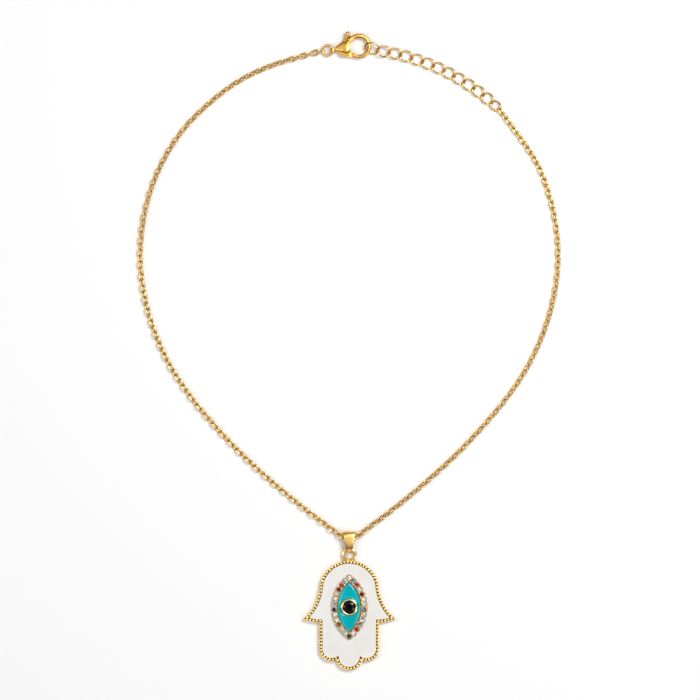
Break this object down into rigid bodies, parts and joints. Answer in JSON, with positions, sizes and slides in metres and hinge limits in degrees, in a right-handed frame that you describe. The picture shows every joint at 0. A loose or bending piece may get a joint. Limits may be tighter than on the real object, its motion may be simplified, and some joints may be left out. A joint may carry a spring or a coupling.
{
  "type": "hamsa pendant necklace",
  "caption": "Necklace with a hand-shaped enamel pendant, a stone-set eye in its palm, a folded bail, a fine cable chain, a lobster clasp and a curb link extender.",
  "frame": {"origin": "middle of the whole necklace's box at the height of the surface that it lies on", "axes": "+X to the right and +Y up towards the clasp as seen from the front, +Z out of the pendant's face, away from the surface"},
  "size_m": [0.1372, 0.2074, 0.0038],
  "materials": {
    "gold_plating": "polished gold plating over brass",
    "white_enamel": "gloss",
    "teal_enamel": "gloss",
    "stone_clear": "faceted and polished",
    "stone_pale_blue": "faceted and polished",
    "stone_red": "faceted and polished",
    "stone_garnet": "faceted and polished",
    "stone_champagne": "faceted and polished",
    "stone_black": "faceted and polished",
    "stone_mint": "faceted and polished",
    "stone_brown": "faceted and polished",
    "stone_aqua": "faceted and polished",
    "stone_green_black": "faceted and polished",
    "stone_lilac": "faceted and polished",
    "stone_grey_blue": "faceted and polished",
    "stone_ruby": "faceted and polished",
    "stone_steel_blue": "faceted and polished"
  },
  "bodies": {
    "root": {"bail": "gold_plating", "chain_left": "gold_plating", "chain_right": "gold_plating", "clasp_body": "gold_plating", "clasp_pin": "gold_plating", "clasp_ring": "gold_plating", "extender_end_link": "gold_plating", "extender_link_01": "gold_plating", "extender_link_02": "gold_plating", "extender_link_03": "gold_plating", "extender_link_04": "gold_plating", "extender_link_05": "gold_plating", "extender_link_06": "gold_plating", "extender_link_07": "gold_plating", "extender_link_08": "gold_plating", "extender_link_09": "gold_plating", "extender_link_10": "gold_plating", "extender_link_11": "gold_plating", "extender_link_12": "gold_plating", "halo_stone_01": "stone_clear", "halo_stone_02": "stone_pale_blue", "halo_stone_03": "stone_red", "halo_stone_04": "stone_garnet", "halo_stone_05": "stone_champagne", "halo_stone_06": "stone_clear", "halo_stone_07": "stone_pale_blue", "halo_stone_08": "stone_black", "halo_stone_09": "stone_mint", "halo_stone_10": "stone_clear", "halo_stone_11": "stone_brown", "halo_stone_12": "stone_clear", "halo_stone_13": "stone_aqua", "halo_stone_14": "stone_green_black", "halo_stone_15": "stone_lilac", "halo_stone_16": "stone_red", "halo_stone_17": "stone_grey_blue", "halo_stone_18": "stone_pale_blue", "halo_stone_19": "stone_clear", "halo_stone_20": "stone_black", "halo_stone_21": "stone_clear", "halo_stone_22": "stone_clear", "halo_stone_23": "stone_ruby", "halo_stone_24": "stone_mint", "halo_stone_25": "stone_red", "halo_stone_26": "stone_steel_blue", "pendant_casting": "gold_plating", "pupil_stone": "stone_black", "teal_enamel": "teal_enamel", "white_enamel": "white_enamel"},
    "lever": {"clasp_lever": "gold_plating"}
  },
  "joints": [
    {"name": "lever_swing", "type": "hinge", "parent": "root", "child": "lever", "pos_m": [-0.0016, 0.09759, 0.00175], "axis": [0, 0, 1], "range_deg": [0, 28], "stiffness_Nm_per_rad": 0.002, "springref_deg": -9.74}
  ]
}
